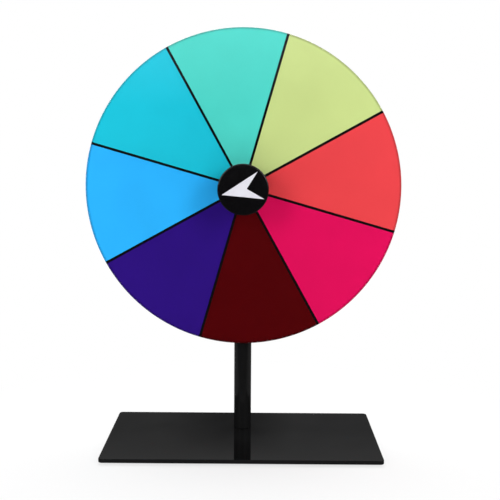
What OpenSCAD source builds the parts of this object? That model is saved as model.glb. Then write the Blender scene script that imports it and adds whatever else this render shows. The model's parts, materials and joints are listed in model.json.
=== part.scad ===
// Game spinner: a clear, back-printed wheel and a pointer that turn on one spindle,
// carried by a slim post on a flat base plate.
// Origin: middle of the base, on the table. +Z is up and the wheel faces -Y.

/* [Wheel] */
// Diameter of the clear disc
wheel_d = 240; // [200:1:300]
// Thickness of the clear disc
disc_t = 4; // [3:0.5:5]
// Bare rim left outside the print
print_margin = 0; // [0:0.1:3]
// Width of the black lines between the sectors
line_w = 2; // [1:0.5:4]
// Direction of the line before the first sector, seen from the front
wheel_angle = 74; // [0:1:359]

/* [Stand] */
// Width of the base plate
base_w = 206; // [180:1:260]
// Depth of the base plate
base_d = 125; // [120:1:180]
// Thickness of the base plate
base_t = 3; // [3:0.5:6]
// Radius of the base plate's corners
base_corner_r = 3; // [1:0.5:12]
// Diameter of the foot pads
foot_d = 12; // [8:1:20]
// Thickness of the foot pads
foot_t = 1.5; // [1:0.5:3]
// Outer diameter of the post
post_d = 13.5; // [12:0.1:16]
// Wall of the post
post_wall = 1.2; // [1:0.1:1.6]
// Distance of the post behind the middle of the base
post_y = 22; // [18:1:30]
// Height of the wheel's axis above the base plate
axis_h = 191.5; // [170:0.5:240]

/* [Hub] */
// Diameter of the flange behind the disc
flange_d = 48; // [42:1:70]
// Length of the spacer between the post and the wheel bearing
rear_spacer_len = 4.5; // [4:0.5:8]
// Length of the spacer between the two bearings
mid_spacer_len = 7.5; // [6:0.5:12]

/* [Pointer] */
// Diameter of the pointer's round cover
pointer_d = 38.2; // [36.5:0.1:60]
// Thickness of the pointer's cover
cover_t = 3; // [2:0.5:5]
// Length of the arrow from its tip to its wings
arrow_len = 30; // [20:0.5:31]
// Width of the arrow across its wings
arrow_span = 21; // [10:0.5:21]
// Depth of the notch between the wings
arrow_notch = 11; // [0:0.5:14]
// Direction of the arrow, seen from the front
pointer_angle = 194; // [0:1:359]

/* [Hidden] */
$fn = 128;

BLACK_PAINT = [0.13, 0.13, 0.14];
BLACK_PLASTIC = [0.08, 0.08, 0.09];
STEEL = [0.72, 0.73, 0.75];
BRIGHT_STEEL = [0.82, 0.83, 0.85];
NYLON = [0.88, 0.85, 0.76];
RUBBER = [0.18, 0.18, 0.18];
CLEAR = [0.86, 0.93, 0.95, 0.3];
LINE_BLACK = [0.05, 0.05, 0.06];
ARROW_WHITE = [0.93, 0.92, 0.95];
TEAL = [0.31, 0.83, 0.78];
CYAN = [0.12, 0.76, 0.85];
LIGHT_BLUE = [0.18, 0.69, 0.98];
INDIGO = [0.17, 0.08, 0.48];
MAROON = [0.30, 0.02, 0.04];
MAGENTA = [0.87, 0.07, 0.34];
CORAL = [0.91, 0.27, 0.29];
LIME = [0.78, 0.85, 0.54];

// Clearances: a screw in its thread, a bolt in a plain hole, a ring on the spindle
thread_gap = 0.02;
bolt_gap = 0.2;
ring_gap = 0.01;
// Extra length that carries a cut past a face
past = 1;

// Heights of the stand
plate_top = foot_t + base_t;
axis_z = plate_top + axis_h;
post_r = post_d / 2;
post_bore_r = post_r - post_wall;
post_top = axis_z + 14;
base_edge = 0.4;
foot_inset = 14;
foot_edge = 0.4;

// Post fastening: countersunk screw from below into an insert in the tube
base_screw_r = 2.5;
base_screw_head_r = 5;
base_screw_len = 14;
base_socket_af = 3;
base_socket_depth = 1.8;
insert_len = 16;
plug_len = 8;
plug_dome_h = 3;

// Ball bearings of the common 8 x 22 x 7 size
bearing_r = 11;
bearing_bore_r = 4;
bearing_w = 7;
ball_count = 7;
ball_r = 1.985;
ball_pitch_r = 7.5;
groove_r = 2.1;
inner_land_r = 6.05;
outer_land_r = 8.95;
shield_r = 9.45;
shield_bore_r = 6.35;
shield_t = 0.35;
shield_seat = 0.6;
cage_r = [6.55, 8.45];
cage_z = [1, 4.6];
pocket_r = 2.13;
bearing_edge = 0.3;

// Spindle: plain front part for the bearings, threaded rear part through the post
spindle_r = bearing_bore_r - ring_gap;
thread_r = 3;
thread_tail = 9;
spindle_edge = 0.5;
spindle_tap_depth = 12;
spacer_r = 5.8;
saddle_r = 7;
saddle_t = 1.75;
saddle_wrap = 0.7 * post_r;

// Cap nut on the rear end of the spindle
nut_af = 10;
nut_hex_h = 5;
nut_dome_r = 4.7;
nut_h = 11.5;

// Stations along the spindle, measured forward from the axis of the post
saddle_face = post_r + saddle_t;
wheel_bearing_back = saddle_face + rear_spacer_len;
wheel_bearing_front = wheel_bearing_back + bearing_w;
flange_back = wheel_bearing_back - 2.5;
disc_back = wheel_bearing_back + 1.5;
disc_front = disc_back + disc_t;
film_t = 0.2;
print_back = disc_back - film_t;
clamp_front = max(disc_front, wheel_bearing_front) + 1.5;
pointer_bearing_back = wheel_bearing_front + mid_spacer_len;
pointer_bearing_front = pointer_bearing_back + bearing_w;
spindle_front = pointer_bearing_front - 0.3;
washer_front = pointer_bearing_front + 1;
pointer_back = clamp_front + 1.5;
cover_back = pointer_bearing_front + 5;
cover_front = cover_back + cover_t;

// Retaining screw and washer
retaining_screw_r = 2;
retaining_head_r = 4;
retaining_head_h = 2.6;
retaining_shank = 10;
washer_r = 6;
socket_af = 2.5;
socket_depth = 1.3;

// Wheel hub and its screws
hub_boss_r = 13;
hub_lip_r = 9.8;
hub_edge = 1;
clamp_r = 18.2;
clamp_edge = 0.5;
hub_screw_r = 1.25;
hub_screw_head_r = 2.35;
hub_screw_circle_r = 15.2;
hub_screw_count = 4;
hub_screw_len = clamp_front - flange_back - 0.6;
hub_socket_af = 1.5;
hub_socket_depth = 0.9;

// Clear disc and its print
wheel_r = wheel_d / 2;
disc_edge = 0.2;
disc_bore_r = hub_boss_r + 0.1;
print_r = wheel_r - print_margin;
print_bore_r = 18;
sector_count = 8;
sector_step = 360 / sector_count;

// Pointer: a moulded cup round its bearing, closed by the cover
pointer_r = pointer_d / 2;
pointer_rear_r = pointer_r - 1.1;
pointer_wall = 1.8;
pointer_boss_r = 13.2;
pointer_web_t = 2.4;
pointer_lip_t = 1.5;
pointer_rib_t = 1.6;
pointer_rib_count = 6;
cover_edge = 0.8;
cover_skirt_r = bearing_r - 0.05;
arrow_t = 0.3;
arrow_reach = 16.3;

// Places its children on the spindle: local +Z points to the front, local +Y up
module on_spindle(station) {
    translate([0, post_y, axis_z])
        rotate([90, 0, 0])
            translate([0, 0, station])
                children();
}

// Turns its children round, so that local +Z points to the rear
module facing_rear() {
    rotate([180, 0, 0])
        children();
}

// Ring with all four edges broken
module ring(inner_r, outer_r, length, edge) {
    rotate_extrude()
        polygon([
            [inner_r + edge, 0], [outer_r - edge, 0], [outer_r, edge], [outer_r, length - edge],
            [outer_r - edge, length], [inner_r + edge, length], [inner_r, length - edge], [inner_r, edge],
        ]);
}

// Right-angled countersunk head at z = 0 with a shank along +Z
module countersunk(head_r, shank_r, length) {
    cylinder(h = head_r - shank_r, r1 = head_r, r2 = shank_r);
    cylinder(h = length, r = shank_r);
}

// Six-sided socket cut into a screw head at z = 0
module hex_socket(across_flats, depth) {
    translate([0, 0, -past])
        cylinder(h = depth + past, d = across_flats / cos(30), $fn = 6);
}

module on_circle(count, radius) {
    for (i = [0 : count - 1])
        rotate([0, 0, i * 360 / count])
            translate([radius, 0, 0])
                children();
}

// Section across a plate, with its four edges broken
module plate_section(width, height, edge) {
    x = width / 2;
    polygon([
        [edge - x, 0], [x - edge, 0], [x, edge], [x, height - edge],
        [x - edge, height], [edge - x, height], [-x, height - edge], [-x, edge],
    ]);
}

// Flat plate with round corners and a broken rim: two slabs that cross, and a disc at each corner
module soft_plate(width, depth, height, radius, edge) {
    rotate([90, 0, 0])
        linear_extrude(depth - 2 * radius, center = true)
            plate_section(width, height, edge);
    rotate([90, 0, 90])
        linear_extrude(width - 2 * radius, center = true)
            plate_section(depth, height, edge);
    for (x = [-1, 1], y = [-1, 1])
        translate([x * (width / 2 - radius), y * (depth / 2 - radius), 0])
            rotate_extrude()
                intersection() {
                    plate_section(2 * radius, height, edge);
                    square([radius, height]);
                }
}

module base_plate() {
    color(BLACK_PAINT)
        difference() {
            translate([0, 0, foot_t])
                soft_plate(base_w, base_d, base_t, base_corner_r, base_edge);
            translate([0, post_y, foot_t]) {
                countersunk(base_screw_head_r, base_screw_r + bolt_gap, base_t + past);
                translate([0, 0, -past])
                    cylinder(h = past, r = base_screw_head_r);
            }
        }
}

module foot_pad(side, end) {
    color(RUBBER)
        translate([side * (base_w / 2 - foot_inset), end * (base_d / 2 - foot_inset), 0])
            rotate_extrude()
                polygon([
                    [0, 0], [foot_d / 2 - foot_edge, 0], [foot_d / 2, foot_edge],
                    [foot_d / 2, foot_t], [0, foot_t],
                ]);
}

module post() {
    color(BLACK_PAINT)
        difference() {
            translate([0, post_y, plate_top])
                ring(post_bore_r, post_r, post_top - plate_top, 0.2);
            on_spindle(-post_d)
                cylinder(h = 2 * post_d, r = thread_r + bolt_gap);
        }
}

module post_insert() {
    color(STEEL)
        translate([0, post_y, plate_top])
            ring(base_screw_r + thread_gap, post_bore_r, insert_len, 0.4);
}

module base_screw() {
    color(STEEL)
        translate([0, post_y, foot_t])
            difference() {
                countersunk(base_screw_head_r, base_screw_r, base_screw_len);
                hex_socket(base_socket_af, base_socket_depth);
            }
}

// Domed plug: the head is a slice of a sphere as wide as the post
module post_plug() {
    dome_r = (post_r * post_r + plug_dome_h * plug_dome_h) / (2 * plug_dome_h);
    color(BLACK_PLASTIC)
        translate([0, post_y, post_top]) {
            translate([0, 0, -plug_len])
                ring(post_bore_r - 1.5, post_bore_r, plug_len, 0.3);
            intersection() {
                translate([0, 0, plug_dome_h - dome_r])
                    sphere(r = dome_r);
                cylinder(h = plug_dome_h + past, r = post_r);
            }
        }
}

// Washer that is flat outside and hollowed to sit on the round post
module saddle() {
    color(BLACK_PLASTIC)
        difference() {
            translate([0, 0, saddle_wrap])
                ring(thread_r + bolt_gap, saddle_r, saddle_face - saddle_wrap, 0.3);
            rotate([90, 0, 0])
                cylinder(h = 4 * saddle_r, r = post_r, center = true);
        }
}

module front_saddle() {
    on_spindle(0)
        saddle();
}

module rear_saddle() {
    on_spindle(0)
        facing_rear()
            saddle();
}

module spindle() {
    tail = -saddle_face - thread_tail;
    color(STEEL)
        on_spindle(0)
            difference() {
                rotate_extrude()
                    polygon([
                        [0, tail], [thread_r - spindle_edge, tail], [thread_r, tail + spindle_edge],
                        [thread_r, saddle_face], [spindle_r, saddle_face],
                        [spindle_r, spindle_front - spindle_edge],
                        [spindle_r - spindle_edge, spindle_front], [0, spindle_front],
                    ]);
                translate([0, 0, spindle_front - spindle_tap_depth])
                    cylinder(h = spindle_tap_depth + past, r = retaining_screw_r + thread_gap);
            }
}

// Domed cap nut: chamfered hexagon, neck and round top over a blind thread
module spindle_nut() {
    corner_r = nut_af / 2 / cos(30);
    dome_z = nut_h - nut_dome_r;
    color(STEEL)
        on_spindle(-saddle_face)
            facing_rear()
                difference() {
                    union() {
                        intersection() {
                            cylinder(h = nut_hex_h, r = corner_r, $fn = 6);
                            cylinder(h = nut_hex_h, r1 = corner_r + nut_hex_h - 0.6, r2 = corner_r - 0.6);
                        }
                        cylinder(h = dome_z, r = nut_dome_r);
                        translate([0, 0, dome_z])
                            sphere(r = nut_dome_r);
                    }
                    translate([0, 0, -past])
                        cylinder(h = thread_tail + 0.5 + past, r = thread_r + thread_gap);
                }
}

module rear_spacer() {
    color(STEEL)
        on_spindle(saddle_face)
            ring(bearing_bore_r, spacer_r, rear_spacer_len, bearing_edge);
}

module mid_spacer() {
    color(STEEL)
        on_spindle(wheel_bearing_front)
            ring(bearing_bore_r, spacer_r, mid_spacer_len, bearing_edge);
}

module retaining_washer() {
    color(STEEL)
        on_spindle(pointer_bearing_front)
            ring(retaining_screw_r + bolt_gap, washer_r, washer_front - pointer_bearing_front, 0.15);
}

// Round-headed screw that holds the bearings on the spindle
module retaining_screw() {
    shoulder = 0.8;
    color(STEEL)
        on_spindle(washer_front)
            difference() {
                rotate_extrude()
                    polygon([
                        [0, -retaining_shank], [retaining_screw_r - 0.3, -retaining_shank],
                        [retaining_screw_r, 0.3 - retaining_shank], [retaining_screw_r, 0],
                        [retaining_head_r, 0], [retaining_head_r, shoulder],
                        [retaining_head_r - 1.4, retaining_head_h], [0, retaining_head_h],
                    ]);
                translate([0, 0, retaining_head_h])
                    facing_rear()
                        hex_socket(socket_af, socket_depth);
            }
}

module bearing_inner_ring(station) {
    color(BRIGHT_STEEL)
        on_spindle(station)
            difference() {
                ring(bearing_bore_r, inner_land_r, bearing_w, bearing_edge);
                ball_groove();
            }
}

module bearing_outer_ring(station) {
    color(BRIGHT_STEEL)
        on_spindle(station)
            difference() {
                ring(outer_land_r, bearing_r, bearing_w, bearing_edge);
                ball_groove();
                for (z = [-past, bearing_w - shield_seat])
                    translate([0, 0, z])
                        cylinder(h = shield_seat + past, r = shield_r);
            }
}

module ball_groove() {
    rotate_extrude()
        translate([ball_pitch_r, bearing_w / 2])
            circle(r = groove_r);
}

module bearing_balls(station) {
    color(BRIGHT_STEEL)
        on_spindle(station + bearing_w / 2)
            on_circle(ball_count, ball_pitch_r)
                sphere(r = ball_r);
}

// Crown cage: a ring with one open pocket for each ball
module bearing_cage(station) {
    color(NYLON)
        on_spindle(station)
            difference() {
                translate([0, 0, cage_z[0]])
                    ring(cage_r[0], cage_r[1], cage_z[1] - cage_z[0], 0.2);
                translate([0, 0, bearing_w / 2])
                    on_circle(ball_count, ball_pitch_r)
                        sphere(r = pocket_r);
            }
}

module bearing_shields(station) {
    color(STEEL)
        on_spindle(station)
            for (z = [shield_seat - shield_t, bearing_w - shield_seat])
                translate([0, 0, z])
                    ring(shield_bore_r, shield_r, shield_t, 0.1);
}

// Flange behind the disc: its boss centres the disc and holds the wheel bearing
module wheel_hub() {
    flange_r = flange_d / 2;
    seat_r = print_bore_r - 0.1;
    color(BLACK_PLASTIC)
        on_spindle(0)
            difference() {
                rotate_extrude()
                    polygon([
                        [hub_lip_r, flange_back], [flange_r - hub_edge, flange_back],
                        [flange_r, flange_back + hub_edge], [flange_r, print_back],
                        [seat_r, print_back], [seat_r, disc_back], [hub_boss_r, disc_back],
                        [hub_boss_r, disc_front], [bearing_r, disc_front],
                        [bearing_r, wheel_bearing_back], [hub_lip_r, wheel_bearing_back],
                    ]);
                translate([0, 0, flange_back - past])
                    on_circle(hub_screw_count, hub_screw_circle_r)
                        cylinder(h = disc_back - flange_back + 2 * past, r = hub_screw_r + thread_gap);
            }
}

// Ring in front of the disc: clamps the disc and keeps the wheel bearing in
module clamp_ring() {
    color(BLACK_PLASTIC)
        on_spindle(0)
            difference() {
                rotate_extrude()
                    polygon([
                        [bearing_r, disc_front], [clamp_r, disc_front],
                        [clamp_r, clamp_front - clamp_edge], [clamp_r - clamp_edge, clamp_front],
                        [hub_lip_r, clamp_front], [hub_lip_r, wheel_bearing_front],
                        [bearing_r, wheel_bearing_front],
                    ]);
                translate([0, 0, clamp_front])
                    on_circle(hub_screw_count, hub_screw_circle_r)
                        facing_rear()
                            countersunk(hub_screw_head_r, hub_screw_r + bolt_gap, clamp_front);
            }
}

module hub_screws() {
    color(STEEL)
        on_spindle(clamp_front)
            on_circle(hub_screw_count, hub_screw_circle_r)
                facing_rear()
                    difference() {
                        countersunk(hub_screw_head_r, hub_screw_r, hub_screw_len);
                        hex_socket(hub_socket_af, hub_socket_depth);
                    }
}

// Clear disc, cut out after printing: its rear rim stays sharp, and only the front rim is broken
module wheel_disc() {
    color(CLEAR)
        on_spindle(disc_back)
            difference() {
                rotate_extrude()
                    polygon([
                        [disc_bore_r, 0], [wheel_r, 0], [wheel_r, disc_t - disc_edge],
                        [wheel_r - disc_edge, disc_t], [disc_bore_r, disc_t],
                    ]);
                translate([0, 0, -past])
                    on_circle(hub_screw_count, hub_screw_circle_r)
                        cylinder(h = disc_t + 2 * past, r = hub_screw_r + bolt_gap);
            }
}

// Straight bar along one dividing line, on the back of the disc
module line_bar(index, length, height) {
    rotate([0, 0, wheel_angle + index * sector_step])
        translate([0, -line_w / 2, 0])
            cube([length, line_w, height]);
}

// One wedge of the print, counted from wheel_angle, between two dividing lines
module sector(index, colour) {
    color(colour)
        on_spindle(print_back)
            difference() {
                rotate([0, 0, wheel_angle + index * sector_step])
                    rotate_extrude(angle = sector_step)
                        translate([print_bore_r, 0])
                            square([print_r - print_bore_r, film_t]);
                for (i = [index, index + 1])
                    translate([0, 0, -past])
                        line_bar(i, wheel_r + past, film_t + 2 * past);
            }
}

module divider_lines() {
    color(LINE_BLACK)
        on_spindle(print_back)
            intersection() {
                rotate_extrude()
                    translate([print_bore_r, 0])
                        square([print_r - print_bore_r, film_t]);
                for (i = [0 : sector_count - 1])
                    line_bar(i, wheel_r + past, film_t);
            }
}

// Moulded cup: tapered skirt, front web, ribs and a boss round the pointer bearing
module pointer_body() {
    web_back = cover_back - pointer_web_t;
    depth = cover_back - pointer_back;
    lip_back = pointer_bearing_back - pointer_lip_t;
    color(BLACK_PLASTIC)
        on_spindle(0)
            difference() {
                union() {
                    difference() {
                        translate([0, 0, pointer_back])
                            cylinder(h = depth, r1 = pointer_rear_r, r2 = pointer_r);
                        translate([0, 0, pointer_back - past])
                            cylinder(h = web_back - pointer_back + past, r = pointer_rear_r - pointer_wall);
                    }
                    translate([0, 0, lip_back])
                        cylinder(h = cover_back - lip_back, r = pointer_boss_r);
                    for (i = [0 : pointer_rib_count - 1])
                        rotate([0, 0, i * 360 / pointer_rib_count])
                            translate([0, -pointer_rib_t / 2, pointer_bearing_back])
                                cube([
                                    pointer_rear_r - pointer_wall / 2, pointer_rib_t,
                                    web_back - pointer_bearing_back + pointer_web_t / 2,
                                ]);
                }
                translate([0, 0, pointer_bearing_back])
                    cylinder(h = cover_back, r = bearing_r);
                translate([0, 0, pointer_back])
                    cylinder(h = cover_back, r = hub_lip_r);
            }
}

// Round cover with a softened front edge and a skirt that keeps the bearing in
module pointer_cover() {
    color(BLACK_PLASTIC)
        on_spindle(cover_back) {
            rotate_extrude() {
                square([pointer_r - cover_edge, cover_t]);
                square([pointer_r, cover_t - cover_edge]);
                translate([pointer_r - cover_edge, cover_t - cover_edge])
                    intersection() {
                        circle(r = cover_edge);
                        square(cover_edge);
                    }
            }
            translate([0, 0, pointer_bearing_front - cover_back])
                ring(hub_lip_r, cover_skirt_r, cover_back - pointer_bearing_front + cover_t / 2, 0.2);
        }
}

module arrow() {
    wings = arrow_reach - arrow_len;
    color(ARROW_WHITE)
        on_spindle(cover_front)
            rotate([0, 0, pointer_angle])
                linear_extrude(arrow_t)
                    polygon([
                        [arrow_reach, 0], [wings, arrow_span / 2],
                        [wings + arrow_notch, 0], [wings, -arrow_span / 2],
                    ]);
}

base_plate();
foot_pad(-1, -1);  // foot_pad_front_left
foot_pad(1, -1);  // foot_pad_front_right
foot_pad(-1, 1);  // foot_pad_rear_left
foot_pad(1, 1);  // foot_pad_rear_right
post();
post_insert();
base_screw();
post_plug();
front_saddle();
rear_saddle();
spindle();
spindle_nut();
rear_spacer();
mid_spacer();
retaining_washer();
retaining_screw();
bearing_inner_ring(wheel_bearing_back);  // wheel_bearing_inner_ring
bearing_outer_ring(wheel_bearing_back);  // wheel_bearing_outer_ring
bearing_balls(wheel_bearing_back);  // wheel_bearing_balls
bearing_cage(wheel_bearing_back);  // wheel_bearing_cage
bearing_shields(wheel_bearing_back);  // wheel_bearing_shields
wheel_hub();
clamp_ring();
hub_screws();
wheel_disc();
sector(0, TEAL);  // sector_teal
sector(1, CYAN);  // sector_cyan
sector(2, LIGHT_BLUE);  // sector_light_blue
sector(3, INDIGO);  // sector_indigo
sector(4, MAROON);  // sector_maroon
sector(5, MAGENTA);  // sector_magenta
sector(6, CORAL);  // sector_coral
sector(7, LIME);  // sector_lime
divider_lines();
bearing_inner_ring(pointer_bearing_back);  // pointer_bearing_inner_ring
bearing_outer_ring(pointer_bearing_back);  // pointer_bearing_outer_ring
bearing_balls(pointer_bearing_back);  // pointer_bearing_balls
bearing_cage(pointer_bearing_back);  // pointer_bearing_cage
bearing_shields(pointer_bearing_back);  // pointer_bearing_shields
pointer_body();
pointer_cover();
arrow();
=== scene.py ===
# %% [markdown]
# # A table-top game spinner
# The construction of the spinner comes from CAD: a base plate, a post, a spindle with two ball
# bearings, a clear wheel printed on its back, and a pointer that turns in front of the wheel.
# This lesson gives it its looks. Pieces whose edges or walls show are modelled again by hand in
# Blender, at the CAD's own sizes, and every other CAD piece gets a finish of its own.

# %% Load the CAD frame
import json
import math

import bmesh
import bpy
from mathutils import Matrix, Vector


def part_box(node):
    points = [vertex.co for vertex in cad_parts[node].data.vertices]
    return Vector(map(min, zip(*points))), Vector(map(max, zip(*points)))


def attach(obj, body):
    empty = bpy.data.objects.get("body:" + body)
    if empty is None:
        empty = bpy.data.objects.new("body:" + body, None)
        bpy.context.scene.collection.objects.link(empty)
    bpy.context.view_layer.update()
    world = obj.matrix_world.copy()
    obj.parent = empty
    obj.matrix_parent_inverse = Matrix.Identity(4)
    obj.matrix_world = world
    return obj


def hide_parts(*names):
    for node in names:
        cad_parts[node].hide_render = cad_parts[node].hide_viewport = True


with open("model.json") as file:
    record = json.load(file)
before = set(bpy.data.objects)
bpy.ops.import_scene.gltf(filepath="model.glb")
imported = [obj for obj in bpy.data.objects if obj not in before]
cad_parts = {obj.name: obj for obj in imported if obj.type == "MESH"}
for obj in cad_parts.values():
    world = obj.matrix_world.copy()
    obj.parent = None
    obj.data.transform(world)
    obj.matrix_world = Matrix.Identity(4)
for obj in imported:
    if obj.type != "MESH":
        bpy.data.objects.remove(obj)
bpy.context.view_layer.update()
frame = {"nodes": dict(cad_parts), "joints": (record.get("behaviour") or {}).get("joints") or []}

MM = 0.001
cad_nodes = frame["nodes"]
spindle = Vector(frame["joints"][0]["pos_m"])
print("the spindle passes through", [round(place / MM, 1) for place in spindle])

# %% [markdown]
# ## The camera
# The picture was taken a little above the middle of the wheel, slightly turned and slightly tilted.
# The camera could be aimed by eye, but a fit of the base's four corners and the wheel's round edge to
# the CAD sizes gives its place and angles directly. Yaw turns it to the side, pitch tips it down
# and roll leans it, so the three turns are multiplied in that order.

# %% Place the camera
CAMERA_PLACE = Vector((0.00787, -0.77685, 0.23967))
CAMERA_YAW = math.radians(0.19)
CAMERA_PITCH = math.radians(90 - 6.66)
CAMERA_ROLL = math.radians(0.35)
CAMERA_LENS = 73.94

bpy.ops.object.camera_add()
camera = bpy.context.object
camera.data.lens = CAMERA_LENS
camera.matrix_world = (
    Matrix.Translation(CAMERA_PLACE)
    @ Matrix.Rotation(CAMERA_YAW, 4, "Z")
    @ Matrix.Rotation(CAMERA_PITCH, 4, "X")
    @ Matrix.Rotation(CAMERA_ROLL, 4, "Z")
)
bpy.context.scene.camera = camera
print("the camera stands", round((CAMERA_PLACE - spindle).length, 3), "m from the spindle")

# %% [markdown]
# ## Wiring nodes
# The room, the table and the finishes are all built of shader nodes. By hand one adds a node, types in
# its values and drags wires from socket to socket. These helpers do the same for anything that owns
# nodes, a world or a material. Most give back the socket to go on from, so that a chain of nodes
# reads like a formula.


# %% Helpers for nodes
def add_node(owner, kind, **values):
    """A new shader node with these values on its inputs, where an underscore stands for a space."""
    made = owner.node_tree.nodes.new("ShaderNode" + kind)
    for name, value in values.items():
        made.inputs[name.replace("_", " ")].default_value = value
    return made


def wire(owner, source, target):
    """Links an output to an input."""
    owner.node_tree.links.new(source, target)


def maths(owner, operation, first, second):
    """The result of a Math node on two sources."""
    made = add_node(owner, "Math")
    made.operation = operation
    wire(owner, first, made.inputs[0])
    wire(owner, second, made.inputs[1])
    return made.outputs["Value"]


def length_of(owner, vector):
    """The length of a vector."""
    made = add_node(owner, "VectorMath")
    made.operation = "LENGTH"
    wire(owner, vector, made.inputs[0])
    return made.outputs["Value"]


def slope(owner, source, start, end, low=0.0, high=1.0):
    """A value that goes from low to high as the source goes from start to end."""
    made = add_node(owner, "MapRange", From_Min=start, From_Max=end, To_Min=low, To_Max=high)
    wire(owner, source, made.inputs["Value"])
    return made.outputs["Result"]


print("node helpers:", ", ".join(helper.__name__ for helper in (add_node, wire, maths, length_of, slope)))


# %% Helpers for rays and shaders
def rays(owner, *kinds):
    """A value that is 1 for rays of these kinds, and 0 for all others."""
    path = add_node(owner, "LightPath")
    wanted, *others = [path.outputs[f"Is {kind} Ray"] for kind in kinds]
    for other in others:
        wanted = maths(owner, "MAXIMUM", wanted, other)
    return wanted


def mix(owner, share, first, second):
    """The first shader where the share is 0, and the second where it is 1."""
    made = add_node(owner, "MixShader")
    wire(owner, share, made.inputs["Fac"])
    wire(owner, first, made.inputs[1])
    wire(owner, second, made.inputs[2])
    return made.outputs["Shader"]


print("shader helpers:", ", ".join(helper.__name__ for helper in (rays, mix)))

# %% [markdown]
# ## A white studio
# The object stands on a white table in front of a white wall, and the room behind the camera is dim,
# so that the clear wheel shows its colours and not a grey veil. The world does all of it: rays from
# the camera see plain white, mirrored and refracted rays see the room, and the rest see an even fill
# light. In the room the wall is darker low down straight behind the object, which shades the
# plate softly towards the post, and above the camera the dim front rises to a bright ceiling, whose
# edge brushes the top of the wheel. A backdrop could be modelled instead, but then every ray would
# meet the same one. Each change in the room goes by the direction of the ray, a vector of length 1,
# and has a pair of values below: where it begins and where it ends.

# %% The room that mirrored rays see
DIM_ROOM = 0.05
LOW_WALL = 0.52
SHADED_WALL = 0.42
WALL_TO_THE_BACK = (-0.35, 0.25)
HIGH_WALL = (0.285, 0.315)
SHADE_LEFT = (-0.09, -0.03)
SHADE_RIGHT = (0.04, 0.0)
SHADE_TOP = (0.31, 0.285)
CEILING_UPWARDS = (0.02, 0.14)
CEILING_TO_THE_FRONT = (0.0, -0.2)

bpy.context.scene.view_settings.view_transform = "Standard"
world = bpy.data.worlds.new("white_studio")
bpy.context.scene.world = world
world.use_nodes = True
world.node_tree.nodes.clear()

direction = add_node(world, "SeparateXYZ")
wire(world, add_node(world, "TexCoord").outputs["Generated"], direction.inputs["Vector"])
aside, back, up = (direction.outputs[axis] for axis in "XYZ")
wall = slope(world, back, *WALL_TO_THE_BACK, low=DIM_ROOM)
wall = maths(world, "MULTIPLY", wall, slope(world, up, *HIGH_WALL, low=LOW_WALL))
behind = maths(world, "MULTIPLY", slope(world, aside, *SHADE_LEFT), slope(world, aside, *SHADE_RIGHT))
low_behind = maths(world, "MULTIPLY", behind, slope(world, up, *SHADE_TOP))
wall = maths(world, "MULTIPLY", wall, slope(world, low_behind, 0, 1, low=1, high=SHADED_WALL))
upwards = slope(world, up, *CEILING_UPWARDS)
ceiling = maths(world, "MULTIPLY", upwards, slope(world, back, *CEILING_TO_THE_FRONT))
room_light = maths(world, "MAXIMUM", wall, ceiling)
print("the room has", len(world.node_tree.nodes), "nodes")

# %% World
FILL_LIGHT = 0.28
WHITE = (1, 1, 1, 1)

fill = add_node(world, "Background", Color=WHITE, Strength=FILL_LIGHT)
room = add_node(world, "Background", Color=WHITE)
plain_white = add_node(world, "Background", Color=WHITE)
wire(world, room_light, room.inputs["Strength"])
mirrored = rays(world, "Glossy", "Transmission")
unseen = mix(world, mirrored, fill.outputs["Background"], room.outputs["Background"])
shown = mix(world, rays(world, "Camera"), unseen, plain_white.outputs["Background"])
wire(world, shown, add_node(world, "OutputWorld").inputs["Surface"])
print("the world has", len(world.node_tree.nodes), "nodes")

# %% [markdown]
# ## Table and lamps
# The table is one large pale plane. Close to the object the lamps light it, so that it keeps the
# object's shadow. Further out it glows more and more for the camera, until it meets the white wall
# with no horizon. Mirrored rays see the same, but find it dim in front, like the room. Two tall soft
# boxes stand left and right, out of the way of what the wheel mirrors to the camera. A wide one
# hangs above and behind, where it lights the table and the plate but not the front of the wheel.

# %% Table
TABLE_SIZE = 14.0
TABLE_DROP = 0.2 * MM


def add(operator, **settings):
    """Adds a primitive with nothing else selected, and sets its place into its mesh."""
    bpy.ops.object.select_all(action="DESELECT")
    operator(**settings)
    bpy.ops.object.transform_apply(location=True, rotation=True, scale=True)
    return bpy.context.object


table = add(bpy.ops.mesh.primitive_plane_add, size=TABLE_SIZE, location=(0, 0, -TABLE_DROP))
table.name = "table"
print("the table is", TABLE_SIZE, "m wide")

# %% Table paint
TABLE_WHITE = (0.86, 0.86, 0.86, 1)
LIT_RADIUS = 0.08
GLOW_RADIUS = 0.27
NEAR_GLOW = 0.7
DIM_FROM = -0.03
DIM_BEYOND = -0.13

paint = bpy.data.materials.new("white_table")
paint.use_nodes = True
paint.node_tree.nodes.clear()
spot = add_node(paint, "TexCoord").outputs["Object"]
sides = add_node(paint, "SeparateXYZ")
wire(paint, spot, sides.inputs["Vector"])
lit = add_node(paint, "BsdfDiffuse", Color=TABLE_WHITE)
glow = add_node(paint, "Emission")
not_in_front = slope(paint, sides.outputs["Y"], DIM_BEYOND, DIM_FROM)
wire(paint, maths(paint, "MAXIMUM", not_in_front, rays(paint, "Camera")), glow.inputs["Strength"])
far = slope(paint, length_of(paint, spot), LIT_RADIUS, GLOW_RADIUS, low=NEAR_GLOW)
glowing = maths(paint, "MULTIPLY", far, rays(paint, "Camera", "Glossy", "Transmission"))
shown = mix(paint, glowing, lit.outputs["BSDF"], glow.outputs["Emission"])
wire(paint, shown, add_node(paint, "OutputMaterial").inputs["Surface"])
table.data.materials.append(paint)
print("the table glows fully from", GLOW_RADIUS, "m outwards")


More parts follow.
